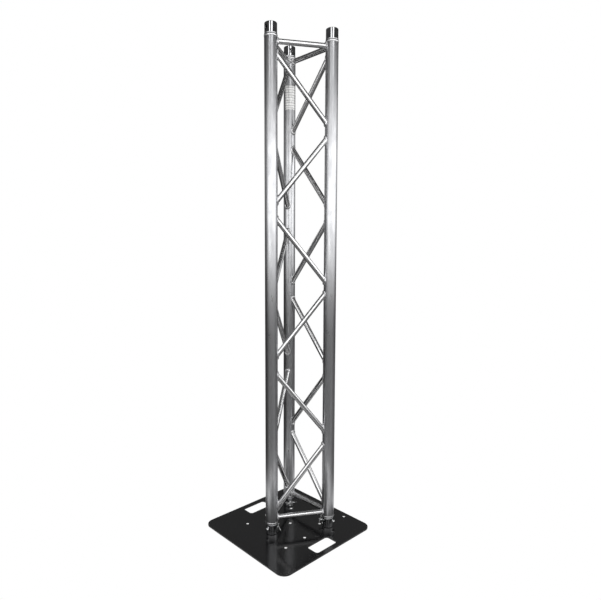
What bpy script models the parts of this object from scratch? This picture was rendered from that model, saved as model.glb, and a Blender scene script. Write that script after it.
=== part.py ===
"""Triangular aluminium truss length standing on its steel base plate.

Metres, +Z up, origin at the centre of the plate's underside.
"""
from math import atan2, cos, pi, radians, sin, sqrt

import bmesh
import bpy
from mathutils import Matrix, Vector

# ---- driving sizes ------------------------------------------------------
TRUSS_LENGTH = 2.0        # end face to end face of the receivers
CHORD_SPACING = 0.240     # chord centre to chord centre
CHORD_R = 0.025
CHORD_WALL = 0.002
BRACE_R = 0.010
BRACE_WALL = 0.002
GAP = 0.0003              # what separate pieces keep between them

RECEIVER_OUT = 0.043      # how far a receiver stands out of its chord tube
RECEIVER_IN = 0.030       # spigot inside the tube
RECEIVER_STEP = 0.001     # receiver's radius is this much under the chord's
SOCKET_MOUTH_R = 0.0160
SOCKET_DEPTH = 0.045
SOCKET_TAPER = 0.0028     # radius lost over the depth of the socket
PIN_HEIGHT = 0.021        # pin axis from a receiver's end face

END_BRACE_AT = 0.063      # level braces, from each end face
NODE_AT = 0.080           # first and last lacing node, from each end face
NODE_HALF = 0.036         # a diagonal meets its chord this far from the node
LACING_DRIFT = {          # how far each diagonal is welded above its even place, top bay first
    "ab": (0.005, 0.006, 0.001, 0.013, -0.002, -0.003),
    "bc": (0.010, 0.000, -0.008, -0.022, -0.023, -0.012),
    "ca": (0.013, 0.007, -0.038, -0.014, -0.038, -0.011),
}

PLATE_T = 0.006
PLATE_CORNER_R = 0.037
PLATE_EDGE = 0.02608      # outermost hole centre to the plate's edge
HOLE_R = 0.0055           # M10 clearance
HEAD_RIM = 0.0005         # top of the bolt head's rim, above the floor
HEAD_TOP = 0.0002         # the head's cone ends this far under the plate's top
SLOT_LENGTH = 0.115
SLOT_WIDTH = 0.057
SLOT_EDGE = 0.020         # metal left outside a hand slot
SLOT_CORNER_R = 0.012

ADAPTER_HEIGHT = 0.038
BOLT_R = 0.0050
BOLT_REACH = 0.0125       # shank above the plate
KEY_R = 0.0036            # hexagon socket in the head, to its corners
KEY_DEPTH = 0.0052
SEAT_GAP = 0.0005         # receivers sit on the cones just clear of the plate

PIN_SMALL_OUT = 0.014     # small end, beyond the receiver
PIN_LARGE_OUT = 0.006     # large end, beyond the receiver
PIN_SMALL_R = 0.0050
PIN_LARGE_R = 0.0061
CLIP_OUT = 0.008          # clip plane, beyond the receiver
WIRE_R = 0.0014
CLIP_TIP = 0.0270         # straight leg beyond the pin axis
CLIP_BACK = 0.018         # straight leg on the loop's side
LOOP_R = 0.0043
CLIP_TURN = {"a": -45.0, "b": 200.0, "c": 174.0}

LABEL_LOW = 1.743         # from the truss's lower end
LABEL_HIGH = 1.839
LABEL_HALF_ANGLE = radians(60)

# ---- derived ------------------------------------------------------------
HALF = CHORD_SPACING / 2
REACH = CHORD_SPACING * sqrt(3) / 2
PLATE_HALF = HALF + REACH / 2 + PLATE_EDGE
TRUSS_BASE = PLATE_T + SEAT_GAP
TRUSS_TOP = TRUSS_BASE + TRUSS_LENGTH
CHORDS = {"a": Vector((HALF - REACH, 0)), "b": Vector((HALF, -HALF)), "c": Vector((HALF, HALF))}
CENTRE = Vector((HALF - REACH / 3, 0))
RECEIVER_R = CHORD_R - RECEIVER_STEP
HEAD_R = BOLT_R + PLATE_T - HEAD_RIM - HEAD_TOP
PIN_IN = RECEIVER_R + PIN_SMALL_OUT
PIN_OUT = RECEIVER_R + PIN_LARGE_OUT
CLIP_AT = RECEIVER_R + CLIP_OUT
SOCKET_END_R = SOCKET_MOUTH_R - SOCKET_TAPER
FACES = (("a", "b"), ("b", "c"), ("c", "a"))
BAYS = len(LACING_DRIFT["ab"])
BAY = (TRUSS_LENGTH - 2 * NODE_AT) / BAYS

LOOKS = {
    "tube": ((0.62, 0.63, 0.65), 0.34, 1.0),
    "brace": ((0.70, 0.71, 0.73), 0.28, 1.0),
    "machined": ((0.74, 0.75, 0.77), 0.18, 1.0),
    "zinc": ((0.66, 0.67, 0.68), 0.26, 1.0),
    "black": ((0.018, 0.018, 0.020), 0.38, 0.0),
    "label": ((0.86, 0.86, 0.84), 0.55, 0.0),
}


def material(name, look):
    colour, rough, metal = LOOKS[look]
    mat = bpy.data.materials.new(name)
    mat.use_nodes = True
    shader = mat.node_tree.nodes["Principled BSDF"]
    shader.inputs["Base Color"].default_value = (*colour, 1)
    shader.inputs["Roughness"].default_value = rough
    shader.inputs["Metallic"].default_value = metal
    mat.diffuse_color = (*colour, 1)
    return mat


def finish(bm, name, look, smooth=True, pivot=None):
    """Turn a bmesh into a named object, with its origin at the pivot."""
    bmesh.ops.recalc_face_normals(bm, faces=bm.faces)
    if pivot is not None:
        bmesh.ops.translate(bm, verts=bm.verts, vec=-pivot)
    mesh = bpy.data.meshes.new(name)
    bm.to_mesh(mesh)
    bm.free()
    obj = bpy.data.objects.new(name, mesh)
    if pivot is not None:
        obj.location = pivot
    bpy.context.scene.collection.objects.link(obj)
    if look:
        mesh.materials.append(material(name, look))
    if smooth:
        mesh.shade_smooth()
        mesh.set_sharp_from_angle(angle=radians(35))
    return obj


def rings_to_mesh(bm, rings, closed=False):
    """Skin rings of points. The first and last are capped unless closed."""
    rows = [[bm.verts.new(p) for p in ring] for ring in rings]
    pairs = list(zip(rows, rows[1:]))
    if closed:
        pairs.append((rows[-1], rows[0]))
    for low, high in pairs:
        for i in range(len(low)):
            k = (i + 1) % len(low)
            bm.faces.new((low[i], low[k], high[k], high[i]))
    if not closed:
        bm.faces.new(reversed(rows[0]))
        bm.faces.new(rows[-1])


def turned(profile, segments, closed=False, place=None):
    """Revolve (radius, height) points round Z."""
    bm = bmesh.new()
    rings = []
    for r, z in profile:
        ring = []
        for i in range(segments):
            a = 2 * pi * i / segments
            ring.append(Vector((r * cos(a), r * sin(a), z)))
        rings.append(ring)
    rings_to_mesh(bm, rings, closed)
    if place is not None:
        bmesh.ops.transform(bm, matrix=place, verts=bm.verts)
    return bm


def cut(obj, cutter):
    """Take the cutter out of obj, then drop the cutter."""
    cutter.hide_render = True
    cutter.display_type = "WIRE"
    mod = obj.modifiers.new("cut", "BOOLEAN")
    mod.operation = "DIFFERENCE"
    mod.solver = "EXACT"
    mod.object = cutter
    bpy.context.view_layer.update()
    graph = bpy.context.evaluated_depsgraph_get()
    mesh = bpy.data.meshes.new_from_object(obj.evaluated_get(graph))
    obj.modifiers.clear()
    mesh.name = obj.name
    obj.data = mesh
    bpy.data.objects.remove(cutter)
    mesh.shade_smooth()
    mesh.set_sharp_from_angle(angle=radians(35))


def outward(chord):
    way = (CHORDS[chord] - CENTRE).normalized()
    return Vector((way.x, way.y, 0))


def pin_frame(chord, height):
    """Matrix whose Z runs outward along the pin and whose Y is world up."""
    way = outward(chord)
    side = Vector((0, 0, 1)).cross(way)
    rot = Matrix((side, Vector((0, 0, 1)), way)).transposed().to_4x4()
    return Matrix.Translation((*CHORDS[chord], height)) @ rot


def pin_radius(along):
    share = (along + PIN_IN) / (PIN_IN + PIN_OUT)
    return PIN_SMALL_R + (PIN_LARGE_R - PIN_SMALL_R) * share


def pin_cutter(chord, height):
    ends = [(pin_radius(t) + GAP, t) for t in (-PIN_IN, PIN_OUT)]
    return finish(turned(ends, 12, place=pin_frame(chord, height)), "cutter", None, smooth=False)


# ---- base ---------------------------------------------------------------
def rounded_rectangle(half_x, half_y, radius, steps, z, centre=(0, 0)):
    ring = []
    for sx, sy, start in ((1, 1, 0), (-1, 1, 90), (-1, -1, 180), (1, -1, 270)):
        cx, cy = centre[0] + sx * (half_x - radius), centre[1] + sy * (half_y - radius)
        for i in range(steps + 1):
            a = radians(start + 90 * i / steps)
            ring.append(Vector((cx + radius * cos(a), cy + radius * sin(a), z)))
    return ring


def plate_holes():
    """Every place an adapter can be bolted: square, and three triangle positions."""
    half_step = REACH / 2
    spots = [(sx * HALF, sy * HALF) for sx in (-1, 1) for sy in (-1, 1)]
    spots += [(HALF - REACH, 0), (HALF - half_step, 0)]
    for sy in (-1, 1):
        spots += [(HALF + half_step, sy * HALF), (half_step - HALF, sy * HALF)]
        spots.append((half_step, sy * (REACH - HALF)))
    return spots


def base_plate():
    edge = 0.0008
    bm = bmesh.new()
    rings = []
    for inset, z in ((edge, 0), (0, edge), (0, PLATE_T - edge), (edge, PLATE_T)):
        half = PLATE_HALF - inset
        rings.append(rounded_rectangle(half, half, PLATE_CORNER_R - inset, 6, z))
    rings_to_mesh(bm, rings)
    plate = finish(bm, "base_plate", "black")
    cutter = bmesh.new()
    seat_r = HEAD_R + HEAD_RIM + 1.5 * GAP
    for x, y in plate_holes():
        hole = turned(
            [(seat_r + 0.001, -0.001), (HOLE_R, seat_r - HOLE_R), (HOLE_R, PLATE_T + 0.001)],
            16, place=Matrix.Translation((x, y, 0)))
        merge_into(cutter, hole)
    for sy in (-1, 1):
        cy = sy * (PLATE_HALF - SLOT_EDGE - SLOT_WIDTH / 2)
        rings = [rounded_rectangle(SLOT_LENGTH / 2, SLOT_WIDTH / 2, SLOT_CORNER_R, 4, z, (0, cy))
                 for z in (-0.001, PLATE_T + 0.001)]
        rings_to_mesh(cutter, rings)
    cut(plate, finish(cutter, "cutter", None, smooth=False))


def merge_into(target, source):
    mesh = bpy.data.meshes.new("scratch")
    source.to_mesh(mesh)
    source.free()
    target.from_mesh(mesh)
    bpy.data.meshes.remove(mesh)


def cone_radius(height):
    """Radius of a socket at a height above its mouth."""
    return SOCKET_MOUTH_R - SOCKET_TAPER * height / SOCKET_DEPTH


def base_adapter(chord):
    low, high = GAP, ADAPTER_HEIGHT
    bore, bore_top = BOLT_R + GAP, BOLT_REACH + 0.0015
    gap = 1.5 * GAP
    profile = [
        (bore, low), (cone_radius(0) - gap, low), (cone_radius(high - 0.003) - gap, high - 0.003),
        (cone_radius(high) - gap - 0.0025, high),
    ]
    bm = bmesh.new()
    rings = []
    for r, z in profile:
        rings.append([Vector((r * cos(2 * pi * i / 24), r * sin(2 * pi * i / 24), z)) for i in range(24)])
    inner = [Vector((bore * cos(2 * pi * i / 24), bore * sin(2 * pi * i / 24), bore_top))
             for i in range(24)]
    rings_to_mesh(bm, [inner, *rings])
    place = Matrix.Translation((*CHORDS[chord], PLATE_T))
    bmesh.ops.transform(bm, matrix=place, verts=bm.verts)
    obj = finish(bm, f"base_adapter_{chord}", "machined")
    cut(obj, pin_cutter(chord, TRUSS_BASE + PIN_HEIGHT))


def adapter_bolt(chord):
    top = PLATE_T + BOLT_REACH
    profile = [(HEAD_R - 0.0003, 0.0002), (HEAD_R, HEAD_RIM), (BOLT_R, HEAD_RIM + HEAD_R - BOLT_R),
               (BOLT_R, top - 0.001), (BOLT_R - 0.001, top)]
    obj = finish(turned(profile, 24, place=Matrix.Translation((*CHORDS[chord], 0))),
                 f"adapter_bolt_{chord}", "zinc")
    socket = turned([(KEY_R, -0.001), (KEY_R, KEY_DEPTH)], 6, place=Matrix.Translation((*CHORDS[chord], 0)))
    cut(obj, finish(socket, "cutter", None, smooth=False))


# ---- truss --------------------------------------------------------------
def chord_tube(chord):
    low, high = RECEIVER_OUT, TRUSS_LENGTH - RECEIVER_OUT
    bevel = 0.0008
    profile = [(CHORD_R - CHORD_WALL, low), (CHORD_R - bevel, low), (CHORD_R, low + bevel),
               (CHORD_R, high - bevel), (CHORD_R - bevel, high), (CHORD_R - CHORD_WALL, high)]
    place = Matrix.Translation((*CHORDS[chord], TRUSS_BASE))
    finish(turned(profile, 24, closed=True, place=place), f"chord_tube_{chord}", "tube")


def receiver(chord, end):
    """Turned end piece: conical socket, collar at the weld, spigot inside the tube."""
    out = RECEIVER_OUT
    spigot = CHORD_R - CHORD_WALL - GAP
    profile = [
        (SOCKET_MOUTH_R + 0.001, 0), (RECEIVER_R - 0.0015, 0), (RECEIVER_R, 0.0015), (RECEIVER_R, out - 0.006),
        (RECEIVER_R + 0.0007, out - 0.0055), (RECEIVER_R + 0.0007, out - 0.0022),
        (spigot, out - 0.0012), (spigot, out + RECEIVER_IN),
        (SOCKET_END_R, out + RECEIVER_IN), (SOCKET_END_R, SOCKET_DEPTH), (cone_radius(0.001), 0.001),
    ]
    if end == "bottom":
        place = Matrix.Translation((*CHORDS[chord], TRUSS_BASE))
    else:
        place = Matrix.Translation((*CHORDS[chord], TRUSS_TOP)) @ Matrix.Rotation(pi, 4, "X")
    obj = finish(turned(profile, 24, closed=True, place=place), f"receiver_{end}_{chord}", "machined")
    height = TRUSS_BASE + PIN_HEIGHT if end == "bottom" else TRUSS_TOP - PIN_HEIGHT
    cut(obj, pin_cutter(chord, height))


def brace(name, start, finish_at, from_z, to_z):
    """Tube between two chords, both ends coped to the chords' round."""
    foot, head = CHORDS[start], CHORDS[finish_at]
    along = (head - foot).normalized()
    span = (head - foot).length
    side = Vector((along.y, -along.x))
    run = Vector((span - 2 * CHORD_R, to_z - from_z))
    slope = run.normalized()
    cope = CHORD_R + GAP
    rings = []
    for radius, order in ((BRACE_R, (0, 1)), (BRACE_R - BRACE_WALL, (1, 0))):
        both = []
        for end in (0, 1):
            ring = []
            for i in range(16):
                a = 2 * pi * i / 16
                across, up = radius * sin(a), radius * cos(a)
                offset_s, offset_z = -slope.y * up, slope.x * up
                reach = sqrt(cope ** 2 - across ** 2)
                s = reach if end == 0 else span - reach
                z = from_z + (s - offset_s - CHORD_R) * slope.y / slope.x + offset_z
                spot = foot + along * s + side * across
                ring.append(Vector((spot.x, spot.y, TRUSS_BASE + z)))
            both.append(ring)
        rings += [both[k] for k in order]
    bm = bmesh.new()
    rings_to_mesh(bm, rings, closed=True)
    finish(bm, name, "brace")


def lacing():
    for start, other in FACES:
        for end, z in (("bottom", END_BRACE_AT), ("top", TRUSS_LENGTH - END_BRACE_AT)):
            brace(f"end_brace_{end}_{start}{other}", start, other, z, z)
        for bay, drift in enumerate(LACING_DRIFT[start + other]):
            upper = TRUSS_LENGTH - NODE_AT - bay * BAY - NODE_HALF + drift
            lower = TRUSS_LENGTH - NODE_AT - (bay + 1) * BAY + NODE_HALF + drift
            ends = (upper, lower) if bay % 2 == 0 else (lower, upper)
            brace(f"diagonal_{start}{other}_{bay + 1}", start, other, *ends)


def label_band():
    """Blank label wrapped on the inner face of the far chord."""
    bm = bmesh.new()
    toward = CENTRE - CHORDS["c"]
    middle = atan2(toward.y, toward.x)
    inner, outer = CHORD_R + GAP, CHORD_R + 2 * GAP
    rings = []
    for i in range(11):
        a = middle + LABEL_HALF_ANGLE * (i / 5 - 1)
        way = Vector((cos(a), sin(a)))
        near, far = CHORDS["c"] + way * inner, CHORDS["c"] + way * outer
        low, high = TRUSS_BASE + LABEL_LOW, TRUSS_BASE + LABEL_HIGH
        rings.append([Vector((*near, low)), Vector((*far, low)), Vector((*far, high)), Vector((*near, high))])
    rings_to_mesh(bm, rings)
    finish(bm, "label_band", "label")


# ---- pins and clips -----------------------------------------------------
def clip_frame(chord):
    """Clip plane: X along the straight leg towards its tip, Z inward along the pin."""
    turn = Matrix.Rotation(radians(CLIP_TURN[chord]), 4, "Z")
    flip = Matrix.Rotation(pi, 4, "X")
    slide = Matrix.Translation((0, 0, -CLIP_AT))
    return pin_frame(chord, TRUSS_BASE + PIN_HEIGHT) @ turn @ slide @ flip


def taper_pin(chord):
    bevel = 0.0012
    stations = ((-PIN_IN, -bevel), (-PIN_IN + bevel, 0), (PIN_OUT - bevel, 0), (PIN_OUT, -bevel))
    profile = [(pin_radius(t) + shrink, t) for t, shrink in stations]
    frame = pin_frame(chord, TRUSS_BASE + PIN_HEIGHT)
    pivot = frame.translation.copy()
    obj = finish(turned(profile, 12, place=frame), f"taper_pin_{chord}", "zinc", pivot=pivot)
    across = Matrix.Rotation(pi / 2, 4, "Y")
    hole = turned([(WIRE_R + GAP, -0.01), (WIRE_R + GAP, 0.01)], 10, place=clip_frame(chord) @ across)
    cut(obj, finish(hole, "cutter", None, smooth=False))


def clip_path():
    """Centre line of a wire clip, in its own plane, from the tip of its straight leg."""
    dip = 2 * WIRE_R + 2 * GAP
    crest = CLIP_RIDE - dip
    pitch = 0.009
    points = [(CLIP_TIP, 0), (CLIP_TIP - 0.001, 0), (0, 0), (-CLIP_BACK, 0)]
    for i in range(1, 10):
        a = radians(-90 - 20 * i)
        points.append((-CLIP_BACK + LOOP_R * cos(a), LOOP_R + LOOP_R * sin(a)))
    for i in range(1, 7):
        s = i / 6
        drop = 2 * LOOP_R - dip
        points.append((-CLIP_BACK + (CLIP_BACK - pitch) * s, 2 * LOOP_R - drop * s * s * (3 - 2 * s)))
    for i in range(1, 13):
        x = -pitch + pitch * i / 6
        points.append((x, dip + crest * cos(pi * x / (2 * pitch)) ** 2))
    for i in range(1, 6):
        s = i / 5
        points.append((pitch + 0.008 * s, dip + 0.0041 * s ** 1.5))
    return [Vector(p) for p in points]


CLIP_RIDE = pin_radius(-CLIP_AT) + WIRE_R + 2 * GAP


def r_clip(chord):
    path = clip_path()
    rings = []
    for i, p in enumerate(path):
        way = (path[min(i + 1, len(path) - 1)] - path[max(i - 1, 0)]).normalized()
        normal = Vector((-way.y, way.x))
        radius = WIRE_R * (0.72 if i in (0, len(path) - 1) else 1)
        ring = []
        for k in range(8):
            a = 2 * pi * k / 8
            flat = p + normal * radius * cos(a)
            ring.append(Vector((flat.x, flat.y, radius * sin(a))))
        rings.append(ring)
    bm = bmesh.new()
    rings_to_mesh(bm, rings)
    frame = clip_frame(chord)
    bmesh.ops.transform(bm, matrix=frame, verts=bm.verts)
    finish(bm, f"r_clip_{chord}", "zinc", pivot=frame.translation.copy())


for old in list(bpy.data.objects):
    bpy.data.objects.remove(old)

base_plate()
for chord_name in CHORDS:
    base_adapter(chord_name)
    adapter_bolt(chord_name)
    chord_tube(chord_name)
    receiver(chord_name, "bottom")
    receiver(chord_name, "top")
    taper_pin(chord_name)
    r_clip(chord_name)
lacing()
label_band()
bpy.context.view_layer.update()
print("objects", len(bpy.data.objects))
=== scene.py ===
from math import atan2, cos, hypot, pi, radians, sin, sqrt

import bmesh
import bpy
from mathutils import Matrix, Vector


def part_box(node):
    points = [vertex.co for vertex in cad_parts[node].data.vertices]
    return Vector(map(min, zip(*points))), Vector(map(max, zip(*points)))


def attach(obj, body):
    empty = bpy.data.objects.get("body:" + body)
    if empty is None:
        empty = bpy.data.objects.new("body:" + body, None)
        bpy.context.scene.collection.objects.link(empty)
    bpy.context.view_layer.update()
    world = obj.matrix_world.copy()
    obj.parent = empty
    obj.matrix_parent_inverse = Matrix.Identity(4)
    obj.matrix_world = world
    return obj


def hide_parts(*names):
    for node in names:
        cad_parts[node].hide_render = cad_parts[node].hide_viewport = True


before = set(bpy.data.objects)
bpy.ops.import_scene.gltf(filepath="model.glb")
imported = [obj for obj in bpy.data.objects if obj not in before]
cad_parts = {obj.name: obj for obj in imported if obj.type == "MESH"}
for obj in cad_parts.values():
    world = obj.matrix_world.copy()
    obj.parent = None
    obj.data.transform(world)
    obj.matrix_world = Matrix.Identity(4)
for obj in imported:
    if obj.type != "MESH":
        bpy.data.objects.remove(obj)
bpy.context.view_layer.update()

scene = bpy.context.scene
scene.view_settings.view_transform = "Standard"
mm = 0.001
trussBody = "truss_and_base"
chordNames = ("a", "b", "c")
faceNames = (("a", "b"), ("b", "c"), ("c", "a"))


camera = {
    "place": (-1.3853, -1.4998, 1.1624),  # metres
    "turn": (84.227, -0.082, -42.990),  # degrees
    "lens": 30.306,  # on a sensor 36 mm wide
    "shift": (0.01727, 0.00269),
}


def addCamera():
    data = bpy.data.cameras.new("viewCamera")
    data.sensor_width = 36
    data.lens = camera["lens"]
    data.shift_x, data.shift_y = camera["shift"]
    data.dof.use_dof = False
    eye = bpy.data.objects.new("viewCamera", data)
    eye.location = camera["place"]
    eye.rotation_euler = [radians(a) for a in camera["turn"]]
    scene.collection.objects.link(eye)
    scene.camera = eye


addCamera()
print("camera set")


def middleOf(node):
    low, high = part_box(node)
    return (low + high) / 2


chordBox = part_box("chord_tube_a")
chordR = (chordBox[1].y - chordBox[0].y) / 2
chordAt = {k: Vector(middleOf(f"chord_tube_{k}")[:2]) for k in chordNames}
trussMiddle = sum(chordAt.values(), Vector((0, 0))) / 3
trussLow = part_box("receiver_bottom_a")[0].z
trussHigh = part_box("receiver_top_a")[1].z
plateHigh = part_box("base_plate")[1]
plateTop = plateHigh.z
print("frame read: chord radius", round(chordR, 4))
print("truss from", round(trussLow, 4), "to", round(trussHigh, 4))


studio = {
    "towards": 227.3,  # degrees, from the truss to the lens
    "panels": (  # name, turn from the lens, distance, height, width, tall, radiance
        ("leftPanel", -20, 3.4, 4.1, 0.95, 2.2, 1.5),
        ("rightPanel", 23, 3.4, 4.1, 1.35, 2.2, 1.5),
    ),
    "wallReach": 3.5,  # a round wall, metres from the truss
    "wallHigh": 3.6,
    "wallTurn": 16,  # the bright stretch's middle, degrees from the lens
    "wallBright": 2.1,
    "wallRight": 0.30,
    "wallRound": 0.22,
    "wallFront": (-0.25, 0.62),  # the bright stretch begins and is full, 1 is straight towards the lens
    "wallSide": (0.4, 0.95),  # the same for the lens's right
    "wallRise": (0.45, 2.1),  # metres up
    "wallFall": (2.75, 3.45),
    "air": 0.05,
    "floorLightPool": (0.34, 0.55, 0.50),  # from, to, brightness: a painted pool of light round the truss
    # the floor's glow below is painted light too: brighter stretches towards the lens and to its right, on a
    # faint even glow
    "floorFrontLight": 0.13,
    "floorAhead": (0.1, 0.75),
    "floorRightLight": 0.09,
    "floorSide": (0.3, 0.9),
    "floorBaseLight": 0.035,
}


def rangeNode(nodes, links, source, fromLow, fromHigh, toLow, toHigh, smooth=True):
    span = nodes.new("ShaderNodeMapRange")
    span.interpolation_type = "SMOOTHSTEP" if smooth else "LINEAR"
    span.inputs["From Min"].default_value = fromLow
    span.inputs["From Max"].default_value = fromHigh
    span.inputs["To Min"].default_value = toLow
    span.inputs["To Max"].default_value = toHigh
    links.new(source, span.inputs["Value"])
    return span.outputs["Result"]


def mathNode(nodes, links, kind, first, second):
    step = nodes.new("ShaderNodeMath")
    step.operation = kind
    for socket, value in zip(step.inputs, (first, second)):
        if isinstance(value, (int, float)):
            socket.default_value = value
        else:
            links.new(value, socket)
    return step.outputs[0]


def addPanel(name, turn, distance, height, width, tall, radiance):
    data = bpy.data.lights.new(name, "AREA")
    data.shape = "RECTANGLE"
    data.size, data.size_y = width, tall
    data.energy = radiance * 4 * width * tall
    panel = bpy.data.objects.new(name, data)
    way = radians(studio["towards"] + turn)
    spot = Vector((distance * cos(way), distance * sin(way), height))
    panel.location = spot
    target = Vector((0, 0, trussHigh))
    panel.rotation_euler = (target - spot).to_track_quat("-Z", "Y").to_euler()
    panel.visible_camera = False
    scene.collection.objects.link(panel)


def blankTree(tree):
    tree.nodes.clear()
    return tree.nodes, tree.links


def lensWays(nodes, links, turn):
    spot = nodes.new("ShaderNodeTexCoord")  # ahead is towards the lens, right is the lens's right
    turned = nodes.new("ShaderNodeVectorRotate")
    turned.rotation_type = "Z_AXIS"
    turned.inputs["Angle"].default_value = -radians(studio["towards"] + turn)
    links.new(spot.outputs["Object"], turned.inputs["Vector"])
    split = nodes.new("ShaderNodeSeparateXYZ")
    links.new(turned.outputs[0], split.inputs[0])
    far = nodes.new("ShaderNodeVectorMath")
    far.operation = "LENGTH"
    links.new(spot.outputs["Object"], far.inputs[0])
    ahead = mathNode(nodes, links, "DIVIDE", split.outputs[0], far.outputs["Value"])
    right = mathNode(nodes, links, "DIVIDE", split.outputs[1], far.outputs["Value"])
    return ahead, right, split.outputs[2], far.outputs["Value"]


def total(nodes, links, *parts):
    answer = parts[0]
    for part in parts[1:]:
        answer = mathNode(nodes, links, "ADD", answer, part)
    return answer


def addWorld():
    world = bpy.data.worlds.new("studioAir")
    scene.world = world
    world.use_nodes = True
    nodes, links = blankTree(world.node_tree)
    around = nodes.new("ShaderNodeBackground")
    around.inputs["Strength"].default_value = studio["air"]
    ray = nodes.new("ShaderNodeLightPath")  # the lens sees plain white, metal sees the studio
    white = nodes.new("ShaderNodeBackground")
    mix = nodes.new("ShaderNodeMixShader")
    around.inputs["Color"].default_value = white.inputs["Color"].default_value = (1, 1, 1, 1)
    links.new(ray.outputs["Is Camera Ray"], mix.inputs["Fac"])
    links.new(around.outputs[0], mix.inputs[1])
    links.new(white.outputs[0], mix.inputs[2])
    links.new(mix.outputs[0], nodes.new("ShaderNodeOutputWorld").inputs["Surface"])


def stageSheet(bm, name):
    mesh = bpy.data.meshes.new(name)
    bm.to_mesh(mesh)
    bm.free()
    sheet = bpy.data.objects.new(name, mesh)
    scene.collection.objects.link(sheet)
    paint = bpy.data.materials.new(name + "Paint")
    paint.use_nodes = True
    mesh.materials.append(paint)
    return sheet, *blankTree(paint.node_tree)


def addWall():
    bm = bmesh.new()
    foot = bm.verts.new((studio["wallReach"], 0, 0.01))
    head = bm.verts.new((studio["wallReach"], 0, studio["wallHigh"]))
    bmesh.ops.spin(bm, geom=[foot, head, bm.edges.new((foot, head))], cent=(0, 0, 0), axis=(0, 0, 1),
                   angle=2 * pi, steps=48, use_merge=True)
    wall, nodes, links = stageSheet(bm, "studioWall")
    ahead, _, up, _ = lensWays(nodes, links, studio["wallTurn"])
    _, right, _, _ = lensWays(nodes, links, 0)
    front = rangeNode(nodes, links, ahead, *studio["wallFront"], 0, studio["wallBright"])
    side = rangeNode(nodes, links, right, *studio["wallSide"], 0, studio["wallRight"])
    rise = rangeNode(nodes, links, up, *studio["wallRise"], 0, 1)
    fall = rangeNode(nodes, links, up, *studio["wallFall"], 1, 0)
    light = mathNode(nodes, links, "MULTIPLY", total(nodes, links, front, side, studio["wallRound"]),
                     mathNode(nodes, links, "MULTIPLY", rise, fall))
    glow = nodes.new("ShaderNodeEmission")
    links.new(light, glow.inputs["Strength"])
    links.new(glow.outputs[0], nodes.new("ShaderNodeOutputMaterial").inputs["Surface"])
    wall.visible_camera = False


def addFloor():
    bm = bmesh.new()
    bmesh.ops.create_grid(bm, x_segments=1, y_segments=1, size=30)
    bmesh.ops.translate(bm, verts=bm.verts, vec=(0, 0, -0.3 * mm))
    _, nodes, links = stageSheet(bm, "studioFloor")
    ahead, right, _, far = lensWays(nodes, links, 0)
    # for every ray but the lens's the floor glows with painted light: a pool of light round the truss fading
    # outwards, brighter stretches towards the lens and to its right, and a faint even glow
    start, stop, bright = studio["floorLightPool"]
    lightPool = rangeNode(nodes, links, far, start, stop, bright, 0)
    front = rangeNode(nodes, links, ahead, *studio["floorAhead"], 0, studio["floorFrontLight"])
    side = rangeNode(nodes, links, right, *studio["floorSide"], 0, studio["floorRightLight"])
    glow = nodes.new("ShaderNodeEmission")
    links.new(total(nodes, links, lightPool, front, side, studio["floorBaseLight"]), glow.inputs["Strength"])
    ray = nodes.new("ShaderNodeLightPath")
    white = nodes.new("ShaderNodeEmission")
    white.inputs["Color"].default_value = (1, 1, 1, 1)
    mix = nodes.new("ShaderNodeMixShader")
    links.new(ray.outputs["Is Camera Ray"], mix.inputs["Fac"])
    links.new(glow.outputs[0], mix.inputs[1])
    links.new(white.outputs[0], mix.inputs[2])
    links.new(mix.outputs[0], nodes.new("ShaderNodeOutputMaterial").inputs["Surface"])


addWorld()
addWall()
addFloor()
for panelFacts in studio["panels"]:
    addPanel(*panelFacts)
print("studio lit")


def newMaterial(name, colour, metallic, roughness):
    mat = bpy.data.materials.new(name)
    mat.use_nodes = True
    nodes, links = mat.node_tree.nodes, mat.node_tree.links
    shader = nodes["Principled BSDF"]
    shader.inputs["Base Color"].default_value = (*colour, 1)
    shader.inputs["Metallic"].default_value = metallic
    shader.inputs["Roughness"].default_value = roughness
    return mat, nodes, links, shader


def stockPoint(nodes):
    grain = nodes.new("ShaderNodeAttribute")
    grain.attribute_name = "stock"
    return grain.outputs["Vector"]


def stretched(nodes, links, source, scale):
    mapping = nodes.new("ShaderNodeMapping")
    mapping.inputs["Scale"].default_value = scale
    links.new(source, mapping.inputs["Vector"])
    return mapping.outputs["Vector"]


def cloud(nodes, links, source, scale, detail=3.0, rough=0.55):
    tex = nodes.new("ShaderNodeTexNoise")
    tex.inputs["Scale"].default_value = scale
    tex.inputs["Detail"].default_value = detail
    tex.inputs["Roughness"].default_value = rough
    links.new(source, tex.inputs["Vector"])
    return tex.outputs["Fac"]


def spread(nodes, links, source, fromLow, fromHigh, toLow, toHigh):
    return rangeNode(nodes, links, source, fromLow, fromHigh, toLow, toHigh, smooth=False)


def tinted(nodes, links, share, dark, light):
    ramp = nodes.new("ShaderNodeValToRGB")
    ramp.color_ramp.elements[0].color = (*dark, 1)
    ramp.color_ramp.elements[1].color = (*light, 1)
    links.new(share, ramp.inputs["Fac"])
    return ramp.outputs["Color"]


def bumped(nodes, links, height, shader, strength, distance):
    bump = nodes.new("ShaderNodeBump")
    bump.inputs["Strength"].default_value = strength
    bump.inputs["Distance"].default_value = distance
    links.new(height, bump.inputs["Height"])
    links.new(bump.outputs["Normal"], shader.inputs["Normal"])


drawnTube = {
    "chord": {"dark": (0.50, 0.505, 0.52), "light": (0.80, 0.805, 0.82), "rough": (0.24, 0.40)},
    # the braces' paler tone is partly a whiter drawn finish and partly painted light: the chords' drawn
    # aluminium made paler to stand in for the broad bright sheen the braces catch from the studio wall
    "brace": {"dark": (0.72, 0.72, 0.73), "light": (0.96, 0.96, 0.96), "rough": (0.20, 0.32)},
    "lines": (900, 900, 3),  # die lines run along the tube
    "bloom": (40, 40, 7),  # cloudy patches, longer than wide
    "scuff": (160, 160, 22),
}


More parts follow.
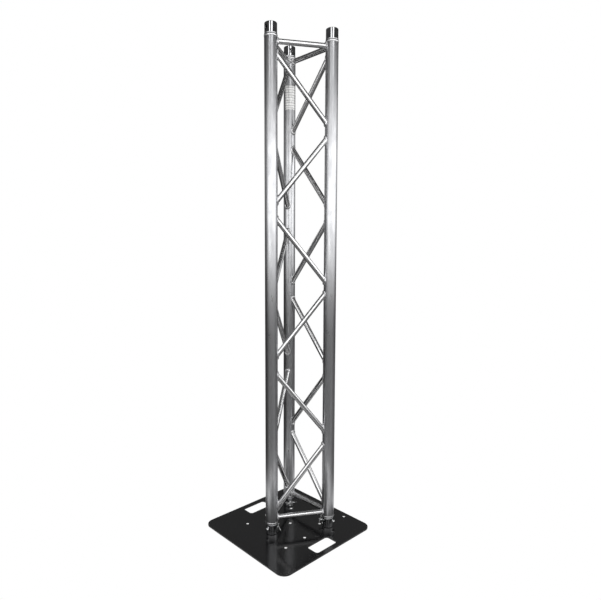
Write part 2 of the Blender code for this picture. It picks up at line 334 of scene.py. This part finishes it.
def drawnAluminium(name, look):
    mat, nodes, links, shader = newMaterial(name, look["light"], 1.0, look["rough"][0])
    point = stockPoint(nodes)
    lines = cloud(nodes, links, stretched(nodes, links, point, drawnTube["lines"]), 1.0, 2.0)
    bloom = cloud(nodes, links, stretched(nodes, links, point, drawnTube["bloom"]), 1.0, 4.0, 0.6)
    scuff = cloud(nodes, links, stretched(nodes, links, point, drawnTube["scuff"]), 1.0, 6.0, 0.7)
    worn = mathNode(nodes, links, "MULTIPLY", spread(nodes, links, bloom, 0.3, 0.7, 0, 1),
                    spread(nodes, links, scuff, 0.35, 0.6, 0.55, 1))
    links.new(tinted(nodes, links, worn, look["dark"], look["light"]), shader.inputs["Base Color"])
    smooth, rough = look["rough"]
    links.new(spread(nodes, links, worn, 0, 1, rough, smooth), shader.inputs["Roughness"])
    bumped(nodes, links, lines, shader, 0.22, 0.05 * mm)
    return mat


turnedPart = {
    "dark": (0.60, 0.605, 0.62),
    "light": (0.88, 0.885, 0.90),
    "rough": (0.06, 0.11),
    "rings": (2, 2, 2600),  # the cutter's marks go round
}


def turnedAluminium(name):
    mat, nodes, links, shader = newMaterial(name, turnedPart["light"], 1.0, turnedPart["rough"][0])
    point = stockPoint(nodes)
    rings = cloud(nodes, links, stretched(nodes, links, point, turnedPart["rings"]), 1.0, 2.0)
    patch = cloud(nodes, links, point, 90, 4.0)
    clean = spread(nodes, links, patch, 0.35, 0.7, 0, 1)
    colour = tinted(nodes, links, clean, turnedPart["dark"], turnedPart["light"])
    links.new(colour, shader.inputs["Base Color"])
    smooth, rough = turnedPart["rough"]
    links.new(spread(nodes, links, patch, 0.3, 0.7, rough, smooth), shader.inputs["Roughness"])
    bumped(nodes, links, rings, shader, 0.10, 0.02 * mm)
    return mat


# a cloud is scale, detail and roughness, clear is where it goes from dark to light, a grain is scale and detail
cloudedCoats = {
    "weldMetal": {
        "metallic": 1.0, "cloud": (260, 5.0, 0.65), "clear": (0.32, 0.62), "dark": (0.50, 0.50, 0.51),
        "light": (0.92, 0.92, 0.93), "roughFrom": (0.3, 0.65), "rough": (0.46, 0.26),
        "grain": (1500, 3.0), "bump": (0.2, 0.06 * mm),
    },
    "zincSteel": {
        "metallic": 1.0, "cloud": (220, 4.0, 0.6), "clear": (0.3, 0.7), "dark": (0.62, 0.64, 0.68),
        "light": (0.90, 0.89, 0.86), "roughFrom": (0.3, 0.7), "rough": (0.30, 0.16),
        "grain": (2400, 2.0), "bump": (0.12, 0.02 * mm),
    },
    "blackCoat": {
        "metallic": 0.0, "cloud": (9, 5.0, 0.6), "clear": (0.35, 0.75), "dark": (0.0042, 0.0042, 0.0048),
        "light": (0.0105, 0.0105, 0.0115), "roughFrom": (0.3, 0.75), "rough": (0.12, 0.19),
        "grain": (900, 2.0), "bump": (0.03, 0.05 * mm),
    },
}


def cloudedCoat(name):
    look = cloudedCoats[name]
    mat, nodes, links, shader = newMaterial(name, look["light"], look["metallic"], look["rough"][0])
    point = stockPoint(nodes)
    patch = cloud(nodes, links, point, *look["cloud"])
    clear = spread(nodes, links, patch, *look["clear"], 0, 1)
    links.new(tinted(nodes, links, clear, look["dark"], look["light"]), shader.inputs["Base Color"])
    links.new(spread(nodes, links, patch, *look["roughFrom"], *look["rough"]), shader.inputs["Roughness"])
    bumped(nodes, links, cloud(nodes, links, point, *look["grain"]), shader, *look["bump"])
    return mat


ruledFilm = {
    "pitch": 5.2 * mm,  # half the way from one plain ruled line to the next
    "line": (0.7 * mm, 1.2 * mm),  # a line is dark to here and clear from here
    "dark": (0.36, 0.36, 0.36),
    "light": (0.84, 0.84, 0.83),
}


def labelFilm(name):
    mat, nodes, links, shader = newMaterial(name, (0.86, 0.86, 0.84), 0.75, 0.4)
    point = stockPoint(nodes)
    wear = spread(nodes, links, cloud(nodes, links, point, 120, 5.0, 0.65), 0.25, 0.45, 0.6, 1)
    split = nodes.new("ShaderNodeSeparateXYZ")
    links.new(point, split.inputs[0])
    along = mathNode(nodes, links, "PINGPONG", split.outputs["Z"], ruledFilm["pitch"])
    rule = rangeNode(nodes, links, along, *ruledFilm["line"], 0, 1)
    share = mathNode(nodes, links, "MULTIPLY", wear, rule)
    links.new(tinted(nodes, links, share, ruledFilm["dark"], ruledFilm["light"]), shader.inputs["Base Color"])
    links.new(spread(nodes, links, wear, 0, 1, 0.6, 0.4), shader.inputs["Roughness"])
    bumped(nodes, links, cloud(nodes, links, point, 60, 3.0), shader, 0.3, 0.2 * mm)
    return mat


chordMetal = drawnAluminium("chordAluminium", drawnTube["chord"])
braceMetal = drawnAluminium("braceAluminium", drawnTube["brace"])
receiverMetal = turnedAluminium("turnedAluminium")
beadMetal = cloudedCoat("weldMetal")
zincMetal = cloudedCoat("zincSteel")
coatBlack = cloudedCoat("blackCoat")
labelWhite = labelFilm("labelFilm")
print("finishes mixed")


def keepStock(bm):
    layer = bm.verts.layers.float_vector.get("stock") or bm.verts.layers.float_vector.new("stock")
    for v in bm.verts:
        v[layer] = v.co
    return bm


def turnedBody(profile, steps, closed=True):
    bm = bmesh.new()
    corners = [bm.verts.new((r, 0, z)) for r, z in profile]
    others = corners[1:] + (corners[:1] if closed else [])
    edges = [bm.edges.new(pair) for pair in zip(corners, others)]
    bmesh.ops.spin(bm, geom=corners + edges, cent=(0, 0, 0), axis=(0, 0, 1), angle=2 * pi, steps=steps,
                   use_merge=True)
    bmesh.ops.remove_doubles(bm, verts=bm.verts, dist=0.001 * mm)
    bmesh.ops.recalc_face_normals(bm, faces=bm.faces)
    return bm


def soften(bm, width, segments, above=30):
    chosen = [e for e in bm.edges if len(e.link_faces) == 2 and e.calc_face_angle(0) > radians(above)]
    bmesh.ops.bevel(bm, geom=chosen, offset=width, offset_type="OFFSET", affect="EDGES", segments=segments,
                    profile=0.5, material=-1, clamp_overlap=True)


def joinInto(target, source, materialIndex=0):
    scratch = bpy.data.meshes.new("scratch")
    for face in source.faces:
        face.material_index = materialIndex
    source.to_mesh(scratch)
    source.free()
    target.from_mesh(scratch)
    bpy.data.meshes.remove(scratch)


def addPiece(bm, name, finishes, body, node, sharp=32):
    mesh = bpy.data.meshes.new(name)
    bm.to_mesh(mesh)
    bm.free()
    for finish in finishes:
        mesh.materials.append(finish)
    mesh.shade_smooth()
    mesh.set_sharp_from_angle(angle=radians(sharp))
    piece = bpy.data.objects.new(name, mesh)
    scene.collection.objects.link(piece)
    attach(piece, body)
    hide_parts(node)
    return piece


def cutAway(bm, cutter):
    held = []
    for part in (bm, cutter):
        mesh = bpy.data.meshes.new("cutWork")
        part.to_mesh(mesh)
        part.free()
        obj = bpy.data.objects.new("cutWork", mesh)
        scene.collection.objects.link(obj)
        held.append(obj)
    mod = held[0].modifiers.new("cut", "BOOLEAN")
    mod.operation, mod.solver, mod.object = "DIFFERENCE", "EXACT", held[1]
    bpy.context.view_layer.update()
    graph = bpy.context.evaluated_depsgraph_get()
    done = bmesh.new()
    done.from_object(held[0], graph)
    for obj in held:
        mesh = obj.data
        bpy.data.objects.remove(obj)
        bpy.data.meshes.remove(mesh)
    return done


weld = {
    "bead": 3.8 * mm,  # a lacing bead stands this proud of its tube
    "beadLong": 5.0 * mm,  # half its length along the tube
    "ringHigh": 4.3 * mm,  # half height of the bead round a chord's end
    "ringProud": 1.1 * mm,
    "pitch": 2.8 * mm,  # from one ripple to the next
    "stepsPerRipple": 5,
    "depth": 0.13,  # share of the bead that a ripple takes
    "wander": (0.07, 0.05),  # slow and quick change of a bead's size round the tube
    "lean": 0.22,  # how far the ripples curve back at a bead's edges
    "ringSunk": 0.2 * mm,  # a ring's middle line, inside the chord's skin
    "ringSeat": 0.6 * mm,  # how far a ring covers the receiver
}


def beadRing(radius, across, up, phase):
    ripples = round(2 * pi * radius / weld["pitch"])
    steps = ripples * weld["stepsPerRipple"]
    slow, quick = weld["wander"]
    hub = 10  # a wide unit ring, drawn in to its real size below
    bm = bmesh.new()
    bmesh.ops.create_circle(bm, segments=10, radius=1)
    bmesh.ops.rotate(bm, verts=bm.verts, cent=(0, 0, 0), matrix=Matrix.Rotation(pi / 2, 3, "X"))
    bmesh.ops.translate(bm, verts=bm.verts, vec=(hub, 0, 0))
    bmesh.ops.spin(bm, geom=list(bm.verts) + list(bm.edges), cent=(0, 0, 0), axis=(0, 0, 1), angle=2 * pi,
                   steps=steps, use_merge=True)
    bmesh.ops.remove_doubles(bm, verts=bm.verts, dist=0.001)
    bmesh.ops.recalc_face_normals(bm, faces=bm.faces)
    for v in bm.verts:
        turn = atan2(v.co.y, v.co.x)
        out, high = hypot(v.co.x, v.co.y) - hub, v.co.z
        wander = 1 + slow * sin(3 * turn + phase) + quick * sin(7 * turn + 2.1 * phase)
        wave = (turn * ripples / (2 * pi) + weld["lean"] * high * high + phase) % 1
        size = wander * (1 - weld["depth"] * (1 - wave) ** 2)
        far = radius + out * across * size
        v.co = Vector((far * cos(turn), far * sin(turn), high * up * size))
    return bm


chordTube = {"wall": 2.0 * mm, "edge": 0.8 * mm, "steps": 96}


def addChord(k):
    low, high = (corner.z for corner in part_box(f"chord_tube_{k}"))
    inner = chordR - chordTube["wall"]
    bm = turnedBody(((inner, low), (chordR, low), (chordR, high), (inner, high)), chordTube["steps"])
    soften(bm, chordTube["edge"], 3)
    keepStock(bm)
    bmesh.ops.translate(bm, verts=bm.verts, vec=(*chordAt[k], 0))
    addPiece(bm, f"chordTube_{k}", [chordMetal], trussBody, f"chord_tube_{k}")


for k in chordNames:
    addChord(k)
print("chords drawn")


receiver = {
    "radius": 24.0 * mm,
    "lip": 22.5 * mm,  # flat end face reaches this far
    "lipHigh": 1.5 * mm,
    "collar": 24.7 * mm,
    "collarFrom": 37.4 * mm,
    "collarTo": 40.9 * mm,
    "out": 43.0 * mm,
    "spigot": 22.7 * mm,
    "spigotEnd": 73.0 * mm,
    "mouth": 16.0 * mm,
    "socketEnd": 13.2 * mm,
    "socketDeep": 45.0 * mm,
    "pinAt": 21.0 * mm,
    "mouthEdge": 0.8 * mm,
    "spigotEdge": 1.2 * mm,
    "edge": 0.35 * mm,
    "steps": 96,
}


def outward(k):
    way = (chordAt[k] - trussMiddle).normalized()
    return Vector((way.x, way.y, 0))


def pinPlace(k, height):
    way = outward(k)
    side = Vector((0, 0, 1)).cross(way)
    turn = Matrix((side, Vector((0, 0, 1)), way)).transposed().to_4x4()
    return Matrix.Translation((*chordAt[k], height)) @ turn


pin = {
    "smallR": 5.0 * mm,
    "largeR": 6.1 * mm,
    "smallOut": 38.0 * mm,  # from the chord's axis, towards the truss
    "largeOut": 30.0 * mm,
    "fit": 0.3 * mm,
    "chamfer": 1.0 * mm,  # round the mouth of a pin hole
    "endRound": 1.2 * mm,
}


def pinRadius(along):
    share = (along + pin["smallOut"]) / (pin["smallOut"] + pin["largeOut"])
    return pin["smallR"] + (pin["largeR"] - pin["smallR"]) * share


def pinHoleCutter(k, height):
    reach, edge, flare = 30 * mm, receiver["radius"], pin["chamfer"]
    wide = reach - edge + flare
    stations = [(-reach, wide), (-edge + flare, 0), (edge - flare, 0), (reach, wide)]
    profile = [(0, -reach)] + [(pinRadius(t) + pin["fit"] + grow, t) for t, grow in stations] + [(0, reach)]
    bm = turnedBody(profile, 48, closed=False)
    bmesh.ops.transform(bm, matrix=pinPlace(k, height), verts=bm.verts)
    return bm


def addReceiver(k, end):
    r = receiver
    profile = [
        (r["mouth"] + r["mouthEdge"], 0), (r["lip"], 0), (r["radius"], r["lipHigh"]),
        (r["radius"], r["collarFrom"]), (r["collar"], r["collarFrom"]), (r["collar"], r["collarTo"]),
        (r["spigot"], r["out"] - r["spigotEdge"]), (r["spigot"], r["spigotEnd"]),
        (r["socketEnd"], r["spigotEnd"]), (r["socketEnd"], r["socketDeep"]), (r["mouth"], r["mouthEdge"]),
    ]
    bm = turnedBody(profile, r["steps"])
    soften(bm, r["edge"], 2)
    ring = beadRing(chordR - weld["ringSunk"], weld["ringProud"] + weld["ringSunk"], weld["ringHigh"],
                    phase=0.7 * (ord(k) + len(end)))
    bmesh.ops.translate(ring, verts=ring.verts, vec=(0, 0, r["out"] + weld["ringHigh"] - weld["ringSeat"]))
    joinInto(bm, ring, 1)
    if end == "top":
        bmesh.ops.rotate(bm, verts=bm.verts, cent=(0, 0, 0), matrix=Matrix.Rotation(pi, 3, "X"))
    keepStock(bm)
    level = trussHigh if end == "top" else trussLow
    bmesh.ops.translate(bm, verts=bm.verts, vec=(*chordAt[k], level))
    pinLevel = trussHigh - r["pinAt"] if end == "top" else trussLow + r["pinAt"]
    bm = cutAway(bm, pinHoleCutter(k, pinLevel))
    addPiece(bm, f"receiver{end.title()}_{k}", [receiverMetal, beadMetal], trussBody, f"receiver_{end}_{k}")


for k in chordNames:
    addReceiver(k, "bottom")
    addReceiver(k, "top")
print("receivers turned")


brace = {"radius": 10.0 * mm, "wall": 2.0 * mm, "gap": 0.3 * mm, "around": 40, "beadOut": 0.4 * mm}


def climb(node, run):
    low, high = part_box(node)  # the tube's middle line climbs less than the tube's own height
    rise = high.z - low.z
    for _ in range(30):  # settles to well under a micron
        rise = high.z - low.z - 2 * brace["radius"] * hypot(1, rise / run)
    return rise


def addBrace(node, name, foot, head, direction):
    start, stop = chordAt[foot], chordAt[head]
    span = (stop - start).length
    run = span - 2 * chordR
    rise = 0 if direction == 0 else climb(node, run) * direction
    flat = (stop - start).normalized()
    length = hypot(run, rise)
    acrossRun, upRun = run / length, rise / length
    along = Vector((flat.x * acrossRun, flat.y * acrossRun, upRun))
    side = Vector((flat.y, -flat.x, 0))
    upward = along.cross(side)
    middle = (start + stop) / 2
    turned = Matrix((side, upward, along)).transposed().to_4x4()
    place = Matrix.Translation((*middle, middleOf(node).z)) @ turned
    meet = chordR + brace["gap"]

    def cope(x, y, end):  # where the tube's wall meets the chord
        reach = span / 2 - sqrt(meet ** 2 - min(x * x, meet * meet * 0.9))
        return (end * reach - y * upward.dot(Vector((*flat, 0)))) / acrossRun

    bm = bmesh.new()
    bmesh.ops.create_circle(bm, segments=brace["around"], radius=brace["radius"])
    stretch = bmesh.ops.extrude_edge_only(bm, edges=list(bm.edges))
    farEnd = [g for g in stretch["geom"] if isinstance(g, bmesh.types.BMVert)]
    bmesh.ops.translate(bm, verts=farEnd, vec=(0, 0, 1))
    for v in bm.verts:
        v.co.z = cope(v.co.x, v.co.y, 1 if v.co.z > 0.5 else -1)
    bmesh.ops.recalc_face_normals(bm, faces=bm.faces)
    bmesh.ops.solidify(bm, geom=list(bm.faces), thickness=brace["wall"])
    bmesh.ops.recalc_face_normals(bm, faces=bm.faces)
    for end in (-1, 1):
        bead = beadRing(brace["radius"] + brace["beadOut"], weld["bead"], weld["beadLong"],
                        phase=middleOf(node).z * 7 + end)
        for v in bead.verts:
            turn = atan2(v.co.y, v.co.x)
            x, y = brace["radius"] * cos(turn), brace["radius"] * sin(turn)
            v.co.z += cope(x, y, end)
        joinInto(bm, bead, 1)
    keepStock(bm)
    bmesh.ops.transform(bm, matrix=place, verts=bm.verts)
    addPiece(bm, name, [braceMetal, beadMetal], trussBody, node)


for foot, head in faceNames:
    for end in ("bottom", "top"):
        addBrace(f"end_brace_{end}_{foot}{head}", f"endBrace{end.title()}_{foot}{head}", foot, head, 0)
    bay = 1
    while f"diagonal_{foot}{head}_{bay}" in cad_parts:
        addBrace(f"diagonal_{foot}{head}_{bay}", f"diagonalTube_{foot}{head}_{bay}", foot, head,
                 -1 if bay % 2 else 1)
        bay += 1
print("lacing welded in")


plate = {
    "half": plateHigh.x,
    "corner": 37.0 * mm,
    "edge": 0.8 * mm,  # rounding of every edge
    "holeR": 5.5 * mm,
    "sinkR": 11.3 * mm,  # countersink at the underside
    "slot": (115.0 * mm, 57.0 * mm),
    "slotIn": 20.0 * mm,  # metal left outside a hand slot
    "slotCorner": 12.0 * mm,
}
cutOver = 1.0 * mm  # how far a cutter passes the face that it cuts


def holePlaces():
    spacing = chordAt["c"].y - chordAt["b"].y
    half, reach = spacing / 2, spacing * sqrt(3) / 2
    step = reach / 2
    places = [(sx * half, sy * half) for sx in (-1, 1) for sy in (-1, 1)]
    places += [(half - reach, 0), (half - step, 0)]
    for sy in (-1, 1):
        places += [(half + step, sy * half), (step - half, sy * half), (step, sy * (reach - half))]
    return places


def roundedSlab(halfX, halfY, low, high, corner, segments):
    bm = bmesh.new()
    bmesh.ops.create_cube(bm, size=2)
    for v in bm.verts:
        v.co = Vector((v.co.x * halfX, v.co.y * halfY, high if v.co.z > 0 else low))
    upright = [e for e in bm.edges if abs(e.verts[0].co.z - e.verts[1].co.z) > 1e-6]
    bmesh.ops.bevel(bm, geom=upright, offset=corner, offset_type="OFFSET", affect="EDGES", segments=segments,
                    profile=0.5, material=-1)
    return bm


def sunkHole(x, y):
    sink = plate["sinkR"] - plate["holeR"]
    profile = [(0, -cutOver), (plate["sinkR"] + cutOver, -cutOver), (plate["holeR"], sink),
               (plate["holeR"], plateTop + cutOver), (0, plateTop + cutOver)]
    bm = turnedBody(profile, 40, closed=False)
    bmesh.ops.translate(bm, verts=bm.verts, vec=(x, y, 0))
    return bm


def addPlate():
    half = plate["half"]
    slotLong, slotWide = plate["slot"]
    bm = roundedSlab(half, half, 0, plateTop, plate["corner"], 16)
    cutter = bmesh.new()
    for x, y in holePlaces():
        joinInto(cutter, sunkHole(x, y))
    for sign in (-1, 1):
        slot = roundedSlab(slotLong / 2, slotWide / 2, -cutOver, plateTop + cutOver, plate["slotCorner"], 10)
        out = half - plate["slotIn"] - slotWide / 2
        bmesh.ops.translate(slot, verts=slot.verts, vec=(0, sign * out, 0))
        joinInto(cutter, slot)
    bm = cutAway(bm, cutter)
    soften(bm, plate["edge"], 4, above=60)
    keepStock(bm)
    piece = addPiece(bm, "basePlate", [coatBlack], trussBody, "base_plate", 40)
    flatTops = piece.modifiers.new("flatTops", "WEIGHTED_NORMAL")
    flatTops.keep_sharp = True


addPlate()
print("plate cut")


adapter = {
    "high": 38.0 * mm,
    "gap": 0.45 * mm,  # between the cone and its socket
    "low": 0.3 * mm,
    "bore": 5.3 * mm,
    "boreHigh": 14.0 * mm,
    "nose": 3.0 * mm,  # height of the chamfer at the top
    "noseIn": 2.5 * mm,
    "edge": 0.3 * mm,
    "steps": 72,
}
bolt = {
    "shank": 5.0 * mm,
    "head": 10.3 * mm,
    "headEdge": 0.3 * mm,
    "low": 0.2 * mm,
    "rim": 0.5 * mm,
    "top": 18.5 * mm,
    "tip": 1.0 * mm,
    "key": 3.6 * mm,
    "keyDeep": 5.2 * mm,
}


def coneRadius(height):
    taper = (receiver["mouth"] - receiver["socketEnd"]) / receiver["socketDeep"]
    return receiver["mouth"] - taper * height - adapter["gap"]


def addAdapter(k):
    low, high, bore = adapter["low"], adapter["high"], adapter["bore"]
    shoulder = high - adapter["nose"]
    profile = [(bore, low), (coneRadius(0), low), (coneRadius(shoulder), shoulder),
               (coneRadius(high) - adapter["noseIn"], high), (0, high), (0, adapter["boreHigh"]),
               (bore, adapter["boreHigh"])]
    bm = turnedBody(profile, adapter["steps"])
    soften(bm, adapter["edge"], 2)
    keepStock(bm)
    bmesh.ops.translate(bm, verts=bm.verts, vec=(*chordAt[k], plateTop))
    bm = cutAway(bm, pinHoleCutter(k, trussLow + receiver["pinAt"]))
    addPiece(bm, f"baseAdapter_{k}", [receiverMetal], trussBody, f"base_adapter_{k}")


def addBolt(k):
    low, rim, head, shank = bolt["low"], bolt["rim"], bolt["head"], bolt["shank"]
    top, tip, key, deep = bolt["top"], bolt["tip"], bolt["key"], bolt["keyDeep"]
    profile = [(0, low), (head - bolt["headEdge"], low), (head, rim), (shank, rim + head - shank),
               (shank, top - tip), (shank - tip, top), (0, top)]
    bm = turnedBody(profile, 48, closed=False)
    keyway = turnedBody([(0, -cutOver), (key, -cutOver), (key, deep), (0, deep)], 6, closed=False)
    bm = cutAway(bm, keyway)
    keepStock(bm)
    bmesh.ops.translate(bm, verts=bm.verts, vec=(*chordAt[k], 0))
    addPiece(bm, f"adapterBolt_{k}", [zincMetal], trussBody, f"adapter_bolt_{k}")


clip = {
    "wire": 1.4 * mm,  # radius
    "out": 32.0 * mm,  # its plane, from the chord's axis
    "tip": 27.0 * mm,
    "back": 18.0 * mm,
    "loop": 4.3 * mm,
    "pitch": 9.0 * mm,  # half the length of the wave over the pin
    "gap": 0.3 * mm,
    "holeFlare": 3.0 * mm,  # the pin's cross hole opens at both ends
    "holeEdge": 0.4 * mm,
    "turn": {"a": -45, "b": 200, "c": 174},  # degrees, round the pin
    "around": 16,
}


def clipPlace(k):
    spin = Matrix.Rotation(radians(clip["turn"][k]), 4, "Z")
    return (pinPlace(k, trussLow + receiver["pinAt"]) @ spin @ Matrix.Translation((0, 0, -clip["out"]))
            @ Matrix.Rotation(pi, 4, "X"))


def clipPath():
    wire, loop, pitch, back = clip["wire"], clip["loop"], clip["pitch"], clip["back"]
    dip = 2 * wire + 2 * clip["gap"]
    crest = pinRadius(-clip["out"]) + wire + 2 * clip["gap"] - dip
    points = [(clip["tip"] - s * mm, 0) for s in (0, 0.15, 0.45, 1.0)]  # close together at the round end
    points += [(clip["tip"] - 1 * mm - (clip["tip"] - 1 * mm + back) * s / 16, 0) for s in range(1, 17)]
    for i in range(1, 25):  # round the loop
        a = radians(-90 - 180 * i / 24)
        points.append((-back + loop * cos(a), loop + loop * sin(a)))
    for i in range(1, 13):  # down to the wave
        s = i / 12
        points.append((-back + (back - pitch) * s, 2 * loop - (2 * loop - dip) * s * s * (3 - 2 * s)))
    for i in range(1, 25):  # over the pin
        x = -pitch + pitch * i / 12
        points.append((x, dip + crest * cos(pi * x / (2 * pitch)) ** 2))
    for i in range(1, 11):  # the flared end
        s = i / 10
        points.append((pitch + 8 * mm * s, dip + 4.1 * mm * s ** 1.5))
    return [Vector((x, y, 0)) for x, y in points]


def wireAlong(path, radius, around):
    bm = bmesh.new()
    ring = bmesh.ops.create_circle(bm, cap_ends=True, segments=around, radius=1)["verts"]
    edges = list(bm.edges)
    last = Matrix.Identity(4)
    count = len(path)
    ends = {0: 0.45, 1: 0.8, 2: 0.95, count - 2: 0.9, count - 1: 0.55}  # shares of the radius, round ends
    for i, spot in enumerate(path):
        way = (path[min(i + 1, count - 1)] - path[max(i - 1, 0)]).normalized()
        across = Vector((-way.y, way.x, 0))
        turn = Matrix((across, Vector((0, 0, 1)), across.cross(Vector((0, 0, 1))))).transposed().to_4x4()
        here = Matrix.Translation(spot) @ turn @ Matrix.Scale(radius * ends.get(i, 1), 4)
        if i:
            grown = bmesh.ops.extrude_edge_only(bm, edges=edges)["geom"]
            ring = [g for g in grown if isinstance(g, bmesh.types.BMVert)]
            edges = [g for g in grown if isinstance(g, bmesh.types.BMEdge)]
            edges = [e for e in edges if all(v in ring for v in e.verts)]
        bmesh.ops.transform(bm, matrix=here @ last.inverted(), verts=ring)
        last = here
    bmesh.ops.contextual_create(bm, geom=edges)
    bmesh.ops.recalc_face_normals(bm, faces=bm.faces)
    return bm


def addClip(k):
    bm = wireAlong(clipPath(), clip["wire"], clip["around"])
    keepStock(bm)
    bmesh.ops.transform(bm, matrix=clipPlace(k), verts=bm.verts)
    addPiece(bm, f"rClip_{k}", [zincMetal], f"clip_{k}", f"r_clip_{k}", 60)


def addPin(k):
    small, large = pin["smallOut"], pin["largeOut"]
    profile = [(0, -small), (pinRadius(-small), -small), (pinRadius(large), large), (0, large)]
    bm = turnedBody(profile, 48, closed=False)
    soften(bm, pin["endRound"], 4, above=60)
    keepStock(bm)
    bmesh.ops.transform(bm, matrix=pinPlace(k, trussLow + receiver["pinAt"]), verts=bm.verts)
    mouth, reach = clip["wire"] + clip["gap"], 10 * mm
    wide, neck = mouth + clip["holeFlare"], pinRadius(-clip["out"]) - clip["holeEdge"]
    profile = [(0, -reach), (wide, -reach), (mouth, -neck), (mouth, neck), (wide, reach), (0, reach)]
    hole = turnedBody(profile, 24, closed=False)
    bmesh.ops.transform(hole, matrix=clipPlace(k) @ Matrix.Rotation(pi / 2, 4, "Y"), verts=hole.verts)
    bm = cutAway(bm, hole)
    addPiece(bm, f"taperPin_{k}", [zincMetal], f"pin_{k}", f"taper_pin_{k}")


for k in chordNames:
    addAdapter(k)
    addBolt(k)
    addPin(k)
    addClip(k)
print("adapters, pins and clips fitted")


label = {
    "halfAngle": 60,
    "thick": 0.22 * mm,
    "off": 0.35 * mm,  # its underside, from the chord's skin
    "corner": 3.0 * mm,
    "cornerPull": 0.7,  # share of the way that a square corner is drawn in
    "ripple": 0.04 * mm,
}


def addLabel():
    low, high = (corner.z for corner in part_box("label_band"))
    toward = trussMiddle - chordAt["c"]
    middle = atan2(toward.y, toward.x)
    reach = radians(label["halfAngle"]) * chordR
    bm = bmesh.new()
    bmesh.ops.create_grid(bm, x_segments=28, y_segments=24, size=1)
    for v in bm.verts:
        v.co = Vector((v.co.x * reach, 0, v.co.y * (high - low) / 2))
        inX, inZ = reach - abs(v.co.x), (high - low) / 2 - abs(v.co.z)
        if inX < label["corner"] and inZ < label["corner"]:
            pull = max(0.0, hypot(label["corner"] - inX, label["corner"] - inZ) - label["corner"])
            v.co.x -= pull * label["cornerPull"] * (1 if v.co.x > 0 else -1)
            v.co.z -= pull * label["cornerPull"] * (1 if v.co.z > 0 else -1)
    bmesh.ops.recalc_face_normals(bm, faces=bm.faces)
    for v in bm.verts:
        turn = middle + v.co.x / chordR
        lift = chordR + label["off"] + label["ripple"] * sin(210 * v.co.z + 90 * v.co.x)
        v.co = Vector((lift * cos(turn), lift * sin(turn), v.co.z))
    bmesh.ops.solidify(bm, geom=list(bm.faces), thickness=label["thick"])
    bmesh.ops.recalc_face_normals(bm, faces=bm.faces)
    keepStock(bm)
    bmesh.ops.translate(bm, verts=bm.verts, vec=(*chordAt["c"], (low + high) / 2))
    addPiece(bm, "labelBand", [labelWhite], trussBody, "label_band")


addLabel()
print("label wrapped")
